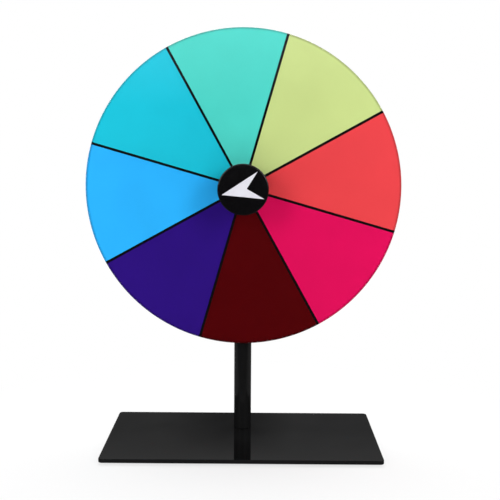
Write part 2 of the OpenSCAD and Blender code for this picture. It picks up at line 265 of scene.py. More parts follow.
# %% Soft boxes
def soft_box(name, place, width, height, power):
    """A rectangular lamp that looks at the wheel."""
    bpy.ops.object.light_add(type="AREA", location=place)
    lamp = bpy.context.object
    lamp.name = name
    lamp.data.shape = "RECTANGLE"
    lamp.data.size = width
    lamp.data.size_y = height
    lamp.data.energy = power
    lamp.rotation_mode = "QUATERNION"
    lamp.rotation_quaternion = (spindle - Vector(place)).to_track_quat("-Z", "Y")
    print(name, "gives", power, "W")


soft_box("left_box", place=(-0.95, -1.2, 0.7), width=0.6, height=0.9, power=8.6)
soft_box("right_box", place=(0.95, -1.2, 0.75), width=0.6, height=0.9, power=10.6)
soft_box("top_box", place=(0, 0.55, 1.4), width=1.6, height=0.9, power=22)

# %% [markdown]
# ## Working with finishes
# Every finish is a Principled shader with detail from noise: a slow cloud that shifts the colour, a
# finer one that shifts the gloss, and a bump for the texture one would feel. All of it reads Object
# coordinates, which here are real metres, so 1000 grains per metre are about one millimetre each
# on every piece alike. Pictures of real surfaces could be laid on instead, but noise has no seams and
# needs no unwrapping. Most of a noise lies close to its middle, so only that part is spread out.


# %% Helpers for finishes
def socket_of(material, name):
    """An input of a material's Principled shader."""
    return material.node_tree.nodes["Principled BSDF"].inputs[name]


def new_finish(name, **sockets):
    """A new material with these values on its Principled shader, written as for add_node."""
    material = bpy.data.materials.new(name)
    material.use_nodes = True
    for socket, value in sockets.items():
        socket_of(material, socket.replace("_", " ")).default_value = value
    print("finish:", name)
    return material


def grain(material, per_metre, detail):
    """Noise on Object coordinates, with about this many grains per metre."""
    noise = add_node(material, "TexNoise", Scale=per_metre, Detail=detail)
    wire(material, add_node(material, "TexCoord").outputs["Object"], noise.inputs["Vector"])
    return noise.outputs["Fac"]


print("finish helpers:", ", ".join(helper.__name__ for helper in (socket_of, new_finish, grain)))

# %% Helpers for detail
NOISE_MIDDLE = (0.3, 0.7)


def vary_colour(material, colour, contrast, per_metre, detail=2):
    """The colour wanders from a darker to a lighter version of itself. Gives back its socket."""
    ramp = add_node(material, "ValToRGB")
    for stop, position, change in zip(ramp.color_ramp.elements, NOISE_MIDDLE, (-contrast, contrast)):
        stop.position = position
        stop.color = (*[channel * (1 + change) for channel in colour], 1)
    wire(material, grain(material, per_metre, detail), ramp.inputs["Fac"])
    wire(material, ramp.outputs["Color"], socket_of(material, "Base Color"))
    return ramp.outputs["Color"]


def vary_gloss(material, low, high, per_metre, detail=2):
    """The roughness wanders from low to high."""
    roughness = slope(material, grain(material, per_metre, detail), *NOISE_MIDDLE, low, high)
    wire(material, roughness, socket_of(material, "Roughness"))


def press(material, source, height):
    """A bump of this height in metres."""
    bump = add_node(material, "Bump", Strength=1, Distance=height)
    wire(material, source, bump.inputs["Height"])
    wire(material, bump.outputs["Normal"], socket_of(material, "Normal"))


def emboss(material, height, per_metre, detail=2):
    """A bump of even grains."""
    press(material, grain(material, per_metre, detail), height)


print("noise is spread out between", NOISE_MIDDLE)

# %% [markdown]
# ## Black powder coat
# The plate and the post are steel with a black powder coat. Baked powder flows out into a skin with a
# faint orange peel, and it mirrors at a low angle: the foot of the post shows in the plate. One
# layer would be either too dull or too sharp. A thin, smooth clear coat over a duller black gives
# both, the soft grey of the plate and the sharp edges of that reflection. The post's black is a
# shade lighter than the plate's black. That difference is painted light, which brightens the post.

# %% Powder coat
PLATE_BLACK = (0.0060, 0.0060, 0.0062)
# Painted light: the post's black is lighter than the plate's, to brighten the post.
POST_BLACK_PAINTED_LIGHTER = (0.0086, 0.0086, 0.0088)


def powder_coat(name, black):
    """A black powder coat under a thin, smooth skin."""
    coat = new_finish(name, Specular_IOR_Level=0, Coat_Weight=0.143, Coat_Roughness=0.03)
    vary_colour(coat, black, contrast=0.15, per_metre=40)
    vary_gloss(coat, low=0.36, high=0.48, per_metre=900)
    emboss(coat, height=0.02 * MM, per_metre=550, detail=3)
    return coat


plate_coat = powder_coat("plate_powder_coat", PLATE_BLACK)
lightened_post_coat = powder_coat("post_powder_coat_painted_lighter", POST_BLACK_PAINTED_LIGHTER)

# %% [markdown]
# ## A few habits of the hand
# An operator in Blender acts on whatever is selected, and the loaded CAD pieces all are. So work on a
# piece starts by deselecting everything else, and then edges or faces are picked by where they lie,
# the way one would click on them. These short helpers hold those habits, so that the steps below
# read like the moves of a modeller: add, open for editing, pick, bevel. At the end a piece is
# handed over: it gets its shading and its finish, and stands for its CAD node from then on.

# %% Helpers for editing
SAME_PLACE = 0.01 * MM


def select_only(piece):
    """Makes one piece the selected and active one."""
    bpy.ops.object.select_all(action="DESELECT")
    piece.select_set(True)
    bpy.context.view_layer.objects.active = piece


def open_edit(piece):
    """Enters edit mode with every corner of the piece selected."""
    select_only(piece)
    bpy.ops.object.mode_set(mode="EDIT")
    bpy.ops.mesh.select_mode(type="VERT")
    bpy.ops.mesh.select_all(action="SELECT")


def close_edit():
    """Goes back to object mode."""
    bpy.ops.object.mode_set(mode="OBJECT")


def pick(piece, kind, wanted):
    """In edit mode, selects the EDGE or FACE elements for which wanted(corner points) is true."""
    bpy.ops.mesh.select_all(action="DESELECT")
    bpy.ops.mesh.select_mode(type=kind)
    shape = bmesh.from_edit_mesh(piece.data)
    for element in shape.edges if kind == "EDGE" else shape.faces:
        if wanted([vert.co for vert in element.verts]):
            element.select_set(True)
    bmesh.update_edit_mesh(piece.data)


def level(height):
    """A test for elements that lie flat at this height."""
    return lambda points: all(abs(point.z - height) < SAME_PLACE for point in points)


print("corners closer than", SAME_PLACE / MM, "mm count as one place")

# %% Helpers for finishing a piece
SMOOTH_BELOW = math.radians(35)


def apply_modifier(piece, kind, **settings):
    """Adds a modifier, sets it and applies it to the mesh."""
    select_only(piece)
    modifier = piece.modifiers.new(kind.lower(), kind)
    for name, value in settings.items():
        setattr(modifier, name, value)
    bpy.ops.object.modifier_apply(modifier=modifier.name)


def hand_over(piece, name, body, material, node):
    """Finishes a new piece: smooth edges between flat faces, its material, and the node it stands for."""
    select_only(piece)
    bpy.ops.object.shade_smooth_by_angle(angle=SMOOTH_BELOW)
    apply_modifier(piece, "WEIGHTED_NORMAL", keep_sharp=True)
    piece.name = name
    piece.data.name = name
    piece.data.materials.clear()
    piece.data.materials.append(material)
    points = [vert.co for vert in piece.data.vertices]
    box = [[side(point[axis] for point in points) for axis in range(3)] for side in (min, max)]
    gap = max(abs(here - there) for own, cad in zip(box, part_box(node)) for here, there in zip(own, cad))
    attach(piece, body)
    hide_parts(node)
    print(name, "has", len(points), "corners and fits the CAD box to", round(gap / MM, 2), "mm")


print("edges are smooth below", round(math.degrees(SMOOTH_BELOW)), "degrees")

# %% [markdown]
# ## Base plate
# The plate is a cut sheet of steel. It starts as a cube at the size of the CAD plate. The four upright
# edges get the corner radius, then the rims of both faces get the small round that the cutting
# and the coat leave, which catches the light along the front. A Bevel modifier would give all of
# them one size, so they are picked and bevelled in edit mode. A cylinder and a cone drill the
# countersunk hole for the screw that holds the post.

# %% Base plate
PLATE_CORNER = 3 * MM
PLATE_EDGE = 0.45 * MM

plate_low, plate_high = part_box("base_plate")
plate = add(
    bpy.ops.mesh.primitive_cube_add,
    size=1,
    location=(plate_low + plate_high) / 2,
    scale=plate_high - plate_low,
)
open_edit(plate)
pick(plate, "EDGE", lambda points: abs(points[0].z - points[1].z) > MM)
bpy.ops.mesh.bevel(offset=PLATE_CORNER, segments=8)
for height in (plate_low.z, plate_high.z):
    pick(plate, "EDGE", level(height))
    bpy.ops.mesh.bevel(offset=PLATE_EDGE, segments=4)
close_edit()
print("the plate has", len(plate.data.vertices), "corners before it is drilled")


# %% Drilling
def merge_close():
    """In edit mode, merges corners that lie almost in one place."""
    bpy.ops.mesh.select_all(action="SELECT")
    bpy.ops.mesh.remove_doubles(threshold=SAME_PLACE)


def combine_shapes(piece, other, operation):
    """Joins, cuts or trims a piece by another one, which is then thrown away."""
    apply_modifier(piece, "BOOLEAN", operation=operation, object=other)
    bpy.data.objects.remove(other)
    open_edit(piece)
    merge_close()
    close_edit()


def drill(piece, cutter):
    """Cuts the shape of a cutter out of a piece."""
    combine_shapes(piece, cutter, "DIFFERENCE")


print("drilled corners are merged below", SAME_PLACE / MM, "mm")

# %% Countersunk hole
BASE_SCREW_HEAD = 5 * MM
BASE_SCREW_HOLE = 2.7 * MM
BASE_DRILL_LENGTH = 20 * MM
HOLE_SIDES = 64

head_depth = BASE_SCREW_HEAD - BASE_SCREW_HOLE
for radius_below, radius_above, depth in (
    (BASE_SCREW_HOLE, BASE_SCREW_HOLE, BASE_DRILL_LENGTH),
    (BASE_SCREW_HEAD + head_depth, BASE_SCREW_HOLE, 2 * head_depth),
):
    drill(plate, add(
        bpy.ops.mesh.primitive_cone_add,
        vertices=HOLE_SIDES,
        radius1=radius_below,
        radius2=radius_above,
        depth=depth,
        location=(spindle.x, spindle.y, plate_low.z),
    ))
hand_over(plate, "coated_base_plate", "stand", plate_coat, "base_plate")

# %% [markdown]
# ## Post
# The post is a length of round steel tube. It could be one cylinder cut out of another, but an open
# cylinder that gets its wall from the Solidify modifier is even all round by itself. The four sharp
# rims are broken by a small bevel, and a long cylinder drills the cross hole for the spindle.

# %% Post tube
POST_WALL = 1.2 * MM
POST_SIDES = 96

post_low, post_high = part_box("post")
post_radius = (post_high.x - post_low.x) / 2
post = add(
    bpy.ops.mesh.primitive_cylinder_add,
    vertices=POST_SIDES,
    radius=post_radius,
    depth=post_high.z - post_low.z,
    end_fill_type="NOTHING",
    location=(post_low + post_high) / 2,
)
apply_modifier(post, "SOLIDIFY", thickness=POST_WALL, offset=-1)
print("the tube is", round(2 * post_radius / MM, 1), "mm thick")

# %% Post rims and cross hole
POST_RIM = 0.25 * MM
CROSS_HOLE_RADIUS = 3.2 * MM


def round_the_post(points):
    """A test for edges that run round the post, and not across its wall."""
    radii = [math.hypot(point.x - spindle.x, point.y - spindle.y) for point in points]
    return max(radii) - min(radii) < SAME_PLACE


open_edit(post)
for height in (post_low.z, post_high.z):
    at_end = level(height)
    pick(post, "EDGE", lambda points: at_end(points) and round_the_post(points))
    bpy.ops.mesh.bevel(offset=POST_RIM, segments=3)
close_edit()
drill(post, add(
    bpy.ops.mesh.primitive_cylinder_add,
    vertices=HOLE_SIDES,
    radius=CROSS_HOLE_RADIUS,
    depth=4 * post_radius,
    location=spindle,
    rotation=(math.pi / 2, 0, 0),
))
hand_over(post, "coated_post", "stand", lightened_post_coat, "post")

# %% [markdown]
# ## Moulded black plastic
# The plug in the post, the saddle washers, the wheel's flange and its clamp ring are moulded in black
# plastic. The mould is spark eroded, which leaves a fine even grain and a dull sheen, so the bump
# is finer and the gloss lower than on the powder coat.

# %% Moulded plastic
PLASTIC_BLACK = (0.013, 0.013, 0.014)

moulded_black = new_finish("moulded_black", Specular_IOR_Level=0.4)
vary_colour(moulded_black, PLASTIC_BLACK, contrast=0.2, per_metre=60)
vary_gloss(moulded_black, low=0.48, high=0.62, per_metre=1500)
emboss(moulded_black, height=0.015 * MM, per_metre=2600, detail=1)

# %% [markdown]
# ## Plug in the post
# The plug closes the top of the tube with a low dome. A flattened sphere would be too steep at its
# rim, so a large one is cut level with the end of the post, and only its cap is left. The rim gets a
# small round. The flat underside is inset by the wall of the tube and pulled down, which makes the
# spigot that holds the plug in the bore. A second inset is pushed back up and leaves the spigot
# hollow, as a moulding would be.

# %% Plug
PLUG_DOME = 3 * MM
PLUG_SPIGOT = 8 * MM
PLUG_WALL = 1.5 * MM
PLUG_RIM = 0.3 * MM
ON_THE_CUT = SAME_PLACE / 10

dome_radius = (post_radius**2 + PLUG_DOME**2) / (2 * PLUG_DOME)
post_end = Vector((spindle.x, spindle.y, post_high.z))
plug = add(
    bpy.ops.mesh.primitive_uv_sphere_add,
    segments=POST_SIDES,
    ring_count=POST_SIDES // 2,
    radius=dome_radius,
    location=post_end + Vector((0, 0, PLUG_DOME - dome_radius)),
)
open_edit(plug)
bpy.ops.mesh.bisect(
    plane_co=post_end,
    plane_no=(0, 0, 1),
    use_fill=True,
    clear_inner=True,
    threshold=ON_THE_CUT,
)
pick(plug, "EDGE", level(post_end.z))
bpy.ops.mesh.bevel(offset=PLUG_RIM, segments=3)
pick(plug, "FACE", level(post_end.z))
bpy.ops.mesh.inset(thickness=POST_WALL - PLUG_RIM)
bpy.ops.mesh.extrude_region_move(TRANSFORM_OT_translate={"value": (0, 0, -PLUG_SPIGOT)})
bpy.ops.mesh.inset(thickness=PLUG_WALL)
bpy.ops.mesh.extrude_region_move(TRANSFORM_OT_translate={"value": (0, 0, PLUG_SPIGOT)})
close_edit()
hand_over(plug, "post_end_plug", "stand", moulded_black, "post_plug")

# %% [markdown]
# ## Rubber feet
# Four round rubber pads keep the plate off the table. One pad is modelled, from a cylinder whose lower
# rim is rounded and whose underside is inset and pressed up into a shallow cup. A copy of it with
# a mesh of its own goes to each corner.

# %% Rubber
RUBBER_BLACK = (0.020, 0.020, 0.020)

rubber = new_finish("foot_rubber", Specular_IOR_Level=0.3)
vary_colour(rubber, RUBBER_BLACK, contrast=0.25, per_metre=300)
vary_gloss(rubber, low=0.75, high=0.9, per_metre=1200)
emboss(rubber, height=0.02 * MM, per_metre=3000)

# %% Feet
FOOT_RIM = 0.5 * MM
FOOT_LIP = 1.2 * MM
FOOT_CUP = 0.4 * MM
FOOT_SIDES = 64


def copy_of(piece, move):
    """A copy with a mesh of its own, and with the move set into that mesh."""
    copy = piece.copy()
    copy.data = piece.data.copy()
    copy.data.transform(move)
    bpy.context.collection.objects.link(copy)
    return copy


foot_low, foot_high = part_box("foot_pad_front_left")
foot = add(
    bpy.ops.mesh.primitive_cylinder_add,
    vertices=FOOT_SIDES,
    radius=(foot_high.x - foot_low.x) / 2,
    depth=foot_high.z - foot_low.z,
    location=(foot_low + foot_high) / 2,
)
open_edit(foot)
pick(foot, "EDGE", level(foot_low.z))
bpy.ops.mesh.bevel(offset=FOOT_RIM, segments=4)
pick(foot, "FACE", level(foot_low.z))
bpy.ops.mesh.inset(thickness=FOOT_LIP)
bpy.ops.mesh.inset(thickness=FOOT_CUP)
bpy.ops.transform.translate(value=(0, 0, FOOT_CUP))
close_edit()
for corner in ("front_left", "front_right", "rear_left", "rear_right"):
    node = "foot_pad_" + corner
    pad = copy_of(foot, Matrix.Translation(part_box(node)[0] - foot_low))
    hand_over(pad, "rubber_foot_" + corner, "stand", rubber, node)
bpy.data.objects.remove(foot)

# %% [markdown]
# ## Turning on the spindle
# The pieces of the head are round, so each is drawn as half an outline beside the spindle and spun all
# the way round it, the way a lathe would turn it. A line is drawn by extruding one corner again and
# again. After the spin the seam is merged, and single rims are picked by radius and depth and
# rounded. Depth is measured along Y, where the front is the smaller number.

# %% Drawing and spinning
SPIN_STEPS = 192


def draw(points):
    """Draws a line through these points, corner by corner, and stays in edit mode."""
    drawn = add(bpy.ops.mesh.primitive_plane_add, size=MM, location=points[0])
    open_edit(drawn)
    bpy.ops.mesh.merge(type="CENTER")
    for here, there in zip(points, points[1:]):
        bpy.ops.mesh.extrude_region_move(TRANSFORM_OT_translate={"value": there - here})
    bpy.ops.mesh.select_all(action="SELECT")
    return drawn


def spin_round(outline, steps=SPIN_STEPS):
    """Spins an outline of (radius, depth) corners about the spindle, and stays in edit mode."""
    piece = draw([Vector((spindle.x + radius, depth, spindle.z)) for radius, depth in outline])
    bpy.ops.mesh.spin(steps=steps, angle=2 * math.pi, center=spindle, axis=(0, 1, 0))
    merge_close()
    bpy.ops.mesh.normals_make_consistent(inside=False)
    return piece


print("a full turn takes", SPIN_STEPS, "steps")


# %% Rims and radii
def soften(piece, radius, depth, size, segments=3):
    """In edit mode, rounds the rim of this radius at this depth."""

    def on_rim(points):
        return all(
            abs(math.hypot(point.x - spindle.x, point.z - spindle.z) - radius) < SAME_PLACE
            and abs(point.y - depth) < SAME_PLACE
            for point in points
        )

    pick(piece, "EDGE", on_rim)
    bpy.ops.mesh.bevel(offset=size, segments=segments)


def half_width(node):
    """The radius of a round CAD piece to a tenth of a millimetre, as its mesh falls a little short."""
    low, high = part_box(node)
    return round((high.x - low.x) / 2, 4)


print("the wheel has a radius of", round(half_width("wheel_disc") / MM, 1), "mm")

# %% [markdown]
# ## Saddle washers
# Two washers pass the pull of the spindle on to the round post. Each is flat outside and hollow inside.
# One is spun as a thick ring, its outer rim is rounded, and a cylinder as wide as the post cuts
# the hollow. The other one is a copy, turned half round about the post.

# %% Saddle washers
SADDLE_RIM = 0.3 * MM


def turn_at_spindle(angle, axis):
    """A turn about an axis that passes through the middle of the spindle."""
    to_spindle = Matrix.Translation(spindle)
    return to_spindle @ Matrix.Rotation(angle, 4, axis) @ to_spindle.inverted()


saddle_low, saddle_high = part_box("front_saddle")
saddle_radius = half_width("front_saddle")
saddle = spin_round([
    (CROSS_HOLE_RADIUS, saddle_low.y),
    (saddle_radius, saddle_low.y),
    (saddle_radius, saddle_high.y),
    (CROSS_HOLE_RADIUS, saddle_high.y),
    (CROSS_HOLE_RADIUS, saddle_low.y),
])
soften(saddle, saddle_radius, saddle_low.y, SADDLE_RIM)
close_edit()
drill(saddle, add(
    bpy.ops.mesh.primitive_cylinder_add,
    vertices=POST_SIDES,
    radius=post_radius,
    depth=4 * saddle_radius,
    location=spindle,
))
rear_saddle = copy_of(saddle, turn_at_spindle(math.pi, "Z"))
hand_over(saddle, "front_saddle_washer", "stand", moulded_black, "front_saddle")
hand_over(rear_saddle, "rear_saddle_washer", "stand", moulded_black, "rear_saddle")

# %% [markdown]
# ## Wheel flange
# The flange presses on the disc from behind, and its boss goes through the disc and holds the wheel
# bearing against a small lip. Everything is one turned outline. The large rear rim is what shows from
# behind, so it gets the full round of a moulding, and the four holes take the screws. The drill for
# them is turned like any round piece, so that it can have a taper, and each hole takes a copy of it.

# %% Screw holes
SCREW_COUNT = 4
SCREW_CIRCLE = 15.2 * MM
SCREW_SIDES = 40
THROUGH = 40 * MM


def drill_screw_holes(piece, radius, taper=()):
    """Drills the ring of hub screw holes with a turned drill, which can have a taper in front."""
    tip = taper or [(0, -THROUGH), (radius, -THROUGH)]
    tool = spin_round([*tip, (radius, THROUGH), (0, THROUGH)], SCREW_SIDES)
    close_edit()
    outwards = Matrix.Translation((SCREW_CIRCLE, 0, 0)) @ turn_at_spindle(math.pi / SCREW_SIDES, "Y")
    for index in range(SCREW_COUNT):
        drill(piece, copy_of(tool, turn_at_spindle(2 * math.pi * index / SCREW_COUNT, "Y") @ outwards))
    bpy.data.objects.remove(tool)


print("screw holes:", SCREW_COUNT)

# %% Wheel flange
LIP_RADIUS = 9.8 * MM
BOSS_RADIUS = 13 * MM
PRINT_BORE = 17.9 * MM
FLANGE_ROUND = 1 * MM
FLANGE_EDGE = 0.2 * MM
FLANGE_HOLE = 1.27 * MM

flange_low, flange_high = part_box("wheel_hub")
flange_radius = half_width("wheel_hub")
ink_low, ink_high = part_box("divider_lines")
disc_low, disc_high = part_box("wheel_disc")
bearing_low, bearing_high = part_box("wheel_bearing_outer_ring")
seat_radius = half_width("wheel_bearing_outer_ring")
flange = spin_round([
    (LIP_RADIUS, flange_high.y),
    (flange_radius, flange_high.y),
    (flange_radius, ink_high.y),
    (PRINT_BORE, ink_high.y),
    (PRINT_BORE, disc_high.y),
    (BOSS_RADIUS, disc_high.y),
    (BOSS_RADIUS, flange_low.y),
    (seat_radius, flange_low.y),
    (seat_radius, bearing_high.y),
    (LIP_RADIUS, bearing_high.y),
    (LIP_RADIUS, flange_high.y),
])
soften(flange, flange_radius, flange_high.y, FLANGE_ROUND, segments=6)
soften(flange, flange_radius, ink_high.y, FLANGE_EDGE)
soften(flange, LIP_RADIUS, flange_high.y, FLANGE_EDGE)
close_edit()
drill_screw_holes(flange, FLANGE_HOLE)
hand_over(flange, "wheel_rear_flange", "wheel", moulded_black, "wheel_hub")

# %% [markdown]
# ## Clear wheel
# The wheel is a disc of clear acrylic, 4 mm thick, with the colours printed on its back. It is spun from
# a rectangle, because a spun ring has clean even walls, and light that bends through it shows any
# unevenness. The disc is cut out after printing, so the colours run to the sharp rear rim, and only
# the front rim is broken. The back face lies a hair inside the ink: printed ink is wetted onto
# the acrylic, with no air between them. Four small holes let the hub screws pass. Light on its way
# to the ink goes straight through the acrylic, because tracing every bend of it would only add noise.

# %% Acrylic
ACRYLIC_TINT = (0.985, 0.99, 0.994)

acrylic = new_finish("clear_acrylic", Transmission_Weight=1, IOR=1.49)
vary_colour(acrylic, ACRYLIC_TINT, contrast=0.004, per_metre=12)
vary_gloss(acrylic, low=0, high=0.02, per_metre=25, detail=4)
bending = acrylic.node_tree.nodes["Principled BSDF"].outputs["BSDF"]
straight = add_node(acrylic, "BsdfTransparent").outputs["BSDF"]
surface = acrylic.node_tree.nodes["Material Output"].inputs["Surface"]
wire(acrylic, mix(acrylic, rays(acrylic, "Shadow", "Diffuse"), bending, straight), surface)

# %% Wheel disc
DISC_BORE = 13.1 * MM
DISC_EDGE = 0.2 * MM
INK_OVERLAP = 0.05 * MM
HUB_SCREW_HOLE = 1.45 * MM

disc_radius = half_width("wheel_disc")
disc_back = disc_high.y + INK_OVERLAP
disc = spin_round([
    (DISC_BORE, disc_low.y),
    (disc_radius, disc_low.y),
    (disc_radius, disc_back),
    (DISC_BORE, disc_back),
    (DISC_BORE, disc_low.y),
])
soften(disc, disc_radius, disc_low.y, DISC_EDGE)
close_edit()
drill_screw_holes(disc, HUB_SCREW_HOLE)
hand_over(disc, "clear_wheel_disc", "wheel", acrylic, "wheel_disc")

# %% [markdown]
# ## Clamp ring
# In front of the disc a ring with four countersunk screws pulls the disc and the flange together, and its
# inner lip keeps the wheel bearing in. It is turned like the flange, with a round front rim. The drill
# for its holes has a taper, which sinks the heads of the screws.

# %% Clamp ring
CLAMP_ROUND = 0.5 * MM
HUB_SCREW_HEAD = 2.35 * MM

clamp_low, clamp_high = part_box("clamp_ring")
clamp_radius = half_width("clamp_ring")
clamp = spin_round([
    (seat_radius, clamp_high.y),
    (clamp_radius, clamp_high.y),
    (clamp_radius, clamp_low.y),
    (LIP_RADIUS, clamp_low.y),
    (LIP_RADIUS, bearing_low.y),
    (seat_radius, bearing_low.y),
    (seat_radius, clamp_high.y),
])
soften(clamp, clamp_radius, clamp_low.y, CLAMP_ROUND, segments=5)
soften(clamp, LIP_RADIUS, clamp_low.y, FLANGE_EDGE)
close_edit()
sink = HUB_SCREW_HEAD - HUB_SCREW_HOLE
taper_front = clamp_low.y - sink
drill_screw_holes(clamp, HUB_SCREW_HOLE, taper=[
    (0, taper_front),
    (HUB_SCREW_HEAD + sink, taper_front),
    (HUB_SCREW_HOLE, clamp_low.y + sink),
])
hand_over(clamp, "wheel_clamp_ring", "wheel", moulded_black, "clamp_ring")

# %% [markdown]
# ## Printed colours
# Eight wedges of solid ink and the black lines between them lie on the back of the disc. An ink has an
# even colour with a slow drift and a fine grain, as a flat print has. Behind acrylic it has no
# shine of its own, so its specular is nothing. Towards the rim the colours are painted a little
# lighter, as painted light, and the very rim is painted darker, as painted shade. As everywhere here, a
# colour is written as shares of red, green and blue light: a share of 0.2 already fills half a screen's
# range.

# %% Ink colours
INKS = {
    "teal": (0.078, 0.651, 0.565),
    "cyan": (0.013, 0.533, 0.687),
    "light_blue": (0.027, 0.440, 0.965),
    "indigo": (0.027, 0.007, 0.195),
    "maroon": (0.076, 0.002, 0.003),
    "magenta": (0.730, 0.006, 0.098),
    "coral": (0.799, 0.060, 0.069),
    "lime": (0.571, 0.687, 0.254),
}
LINE_BLACK = (0.004, 0.004, 0.0045)

print("inks:", ", ".join(INKS))

# %% Inks
# Painted light: the inks grow lighter towards the rim. Painted shade: they darken along the very rim.
PAINTED_RIM_LIGHT = 1.05
PAINTED_RIM_LIGHT_FROM = 80 * MM
PAINTED_RIM_SHADE = 0.55
PAINTED_RIM_SHADE_WIDTH = 1.7 * MM


def from_spindle(material):
    """The distance of a point from the spindle's axis."""
    flat = add_node(material, "Mapping", Location=(-spindle.x, 0, -spindle.z), Scale=(1, 0, 1))
    wire(material, add_node(material, "TexCoord").outputs["Object"], flat.inputs["Vector"])
    return length_of(material, flat.outputs["Vector"])


def printed_ink(name, colour):
    """Solid ink with a slow drift and a fine grain, with painted light towards the rim and painted shade
    at its edge.
    """
    ink = new_finish(name, Specular_IOR_Level=0)
    tint = vary_colour(ink, colour, contrast=0.025, per_metre=35, detail=6)
    radius = from_spindle(ink)
    # first the painted light towards the rim, then the painted shade along the very rim
    for start, change in ((PAINTED_RIM_LIGHT_FROM, PAINTED_RIM_LIGHT), (disc_radius - PAINTED_RIM_SHADE_WIDTH, PAINTED_RIM_SHADE)):
        shaded = add_node(ink, "VectorMath")
        shaded.operation = "SCALE"
        wire(ink, tint, shaded.inputs["Vector"])
        wire(ink, slope(ink, radius, start, disc_radius, low=1, high=change), shaded.inputs["Scale"])
        tint = shaded.outputs["Vector"]
    wire(ink, tint, socket_of(ink, "Base Color"))
    vary_gloss(ink, low=0.5, high=0.65, per_metre=1800)
    emboss(ink, height=0.004 * MM, per_metre=4000)
    return ink


line_ink = printed_ink("ink_line_black", LINE_BLACK)

# %% [markdown]
# ## Printed film
# The ink itself is a film, a fifth of a millimetre thick. A wedge could be cut from a disc, but drawn as
# two arcs that are bridged and pulled out to the thickness, it has nothing but clean strips, and its
# rim follows the disc. Its sides run along the lines, half a line's width from the radius. A line
# is the same film with its ends that far to the other side. One wedge and one line are
# modelled, and turned copies fill the wheel.


# %% Joining, and points on an arc
def join(pieces):
    """Makes several pieces one, without changing their shapes."""
    select_only(pieces[0])
    for piece in pieces:
        piece.select_set(True)
    bpy.ops.object.join()
    return pieces[0]


def arc(radius, first, last, steps):
    """Points on the front of the ink, round the spindle from one angle to another."""
    turns = [first + (last - first) * step / steps for step in range(steps + 1)]
    return [
        Vector((spindle.x + radius * math.cos(turn), ink_low.y, spindle.z + radius * math.sin(turn)))
        for turn in turns
    ]


print("the front of the ink lies at a depth of", round(ink_low.y / MM, 2), "mm")

# %% Film between two arcs
LINE_HALF = 1 * MM
INK_BORE = 18 * MM
INK_SHORT = 0.02 * MM


def ink_film(first, last, steps, side):
    """Ink between two angles, half a line short of both (side 1) or past both (side -1)."""
    edges = []
    for radius in (INK_BORE, disc_radius - INK_SHORT):
        trim = side * math.asin(LINE_HALF / radius)
        edges.append(draw(arc(radius, first + trim, last - trim, steps)))
        close_edit()
    film = join(edges)
    open_edit(film)
    bpy.ops.mesh.bridge_edge_loops()
    bpy.ops.mesh.select_all(action="SELECT")
    bpy.ops.mesh.extrude_region_move(TRANSFORM_OT_translate={"value": (0, ink_high.y - ink_low.y, 0)})
    bpy.ops.mesh.select_all(action="SELECT")
    bpy.ops.mesh.normals_make_consistent(inside=False)
    close_edit()
    return film


print("the film is", round((ink_high.y - ink_low.y) / MM, 2), "mm thick")

# %% Wedges and lines
FIRST_LINE = math.radians(74)
WEDGE_STEPS = 24
LINE_STEPS = 2

wedge_turn = 2 * math.pi / len(INKS)
wedge = ink_film(FIRST_LINE, FIRST_LINE + wedge_turn, WEDGE_STEPS, side=1)
divider = ink_film(FIRST_LINE, FIRST_LINE, LINE_STEPS, side=-1)
dividers = []
for index, (colour_name, colour) in enumerate(INKS.items()):
    turned = turn_at_spindle(-wedge_turn * index, "Y")
    ink = printed_ink("ink_" + colour_name, colour)
    sector = "sector_" + colour_name
    hand_over(copy_of(wedge, turned), "printed_" + sector, "wheel", ink, sector)
    dividers.append(copy_of(divider, turned))
hand_over(join(dividers), "printed_lines", "wheel", line_ink, "divider_lines")
for spare in (wedge, divider):
    bpy.data.objects.remove(spare)

# %% [markdown]
# ## Pointer
# The pointer is a black cup that turns on its own bearing in front of the wheel, closed by a flat round
# cover. The cup is one turned outline: a skirt that tapers to the rear so that it leaves its mould, a
# web across the front, and a boss round the bearing. Six ribs stiffen it inside: one is modelled
# as a block, and a turned copy for each place is united with the cup.

# %% Satin plastic
POINTER_BLACK = (0.0028, 0.0026, 0.0031)

satin_black = new_finish("satin_black", Specular_IOR_Level=0.35)
vary_colour(satin_black, POINTER_BLACK, contrast=0.12, per_metre=120)
vary_gloss(satin_black, low=0.13, high=0.2, per_metre=700, detail=4)
emboss(satin_black, height=0.004 * MM, per_metre=3500)

# %% Pointer cup
CUP_TAPER = 1.1 * MM
CUP_WALL = 1.8 * MM
CUP_WEB = 2.4 * MM
CUP_LIP = 1.5 * MM
CUP_ROUND = 0.5 * MM
BOSS_WALL = 2.2 * MM
SEAM = 0.25 * MM

cup_low, cup_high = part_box("pointer_body")
cup_radius = half_width("pointer_body")
rear_radius = cup_radius - CUP_TAPER
inner_radius = rear_radius - CUP_WALL
boss_radius = seat_radius + BOSS_WALL
pointer_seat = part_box("pointer_bearing_outer_ring")[1].y
web_back = cup_low.y + CUP_WEB
cup = spin_round([
    (inner_radius, cup_high.y),
    (rear_radius, cup_high.y),
    (cup_radius, cup_low.y),
    (seat_radius, cup_low.y),
    (seat_radius, pointer_seat),
    (LIP_RADIUS, pointer_seat),
    (LIP_RADIUS, pointer_seat + CUP_LIP),
    (boss_radius, pointer_seat + CUP_LIP),
    (boss_radius, web_back),
    (inner_radius, web_back),
    (inner_radius, cup_high.y),
])
soften(cup, rear_radius, cup_high.y, CUP_ROUND, segments=4)
soften(cup, inner_radius, cup_high.y, SEAM)
soften(cup, cup_radius, cup_low.y, SEAM)
close_edit()
print("the cup has", len(cup.data.vertices), "corners before it gets its ribs")

# %% Ribs in the cup
RIB_COUNT = 6
RIB_THICK = 1.6 * MM


def unite(piece, other):
    """Makes one piece of two that overlap."""
    combine_shapes(piece, other, "UNION")


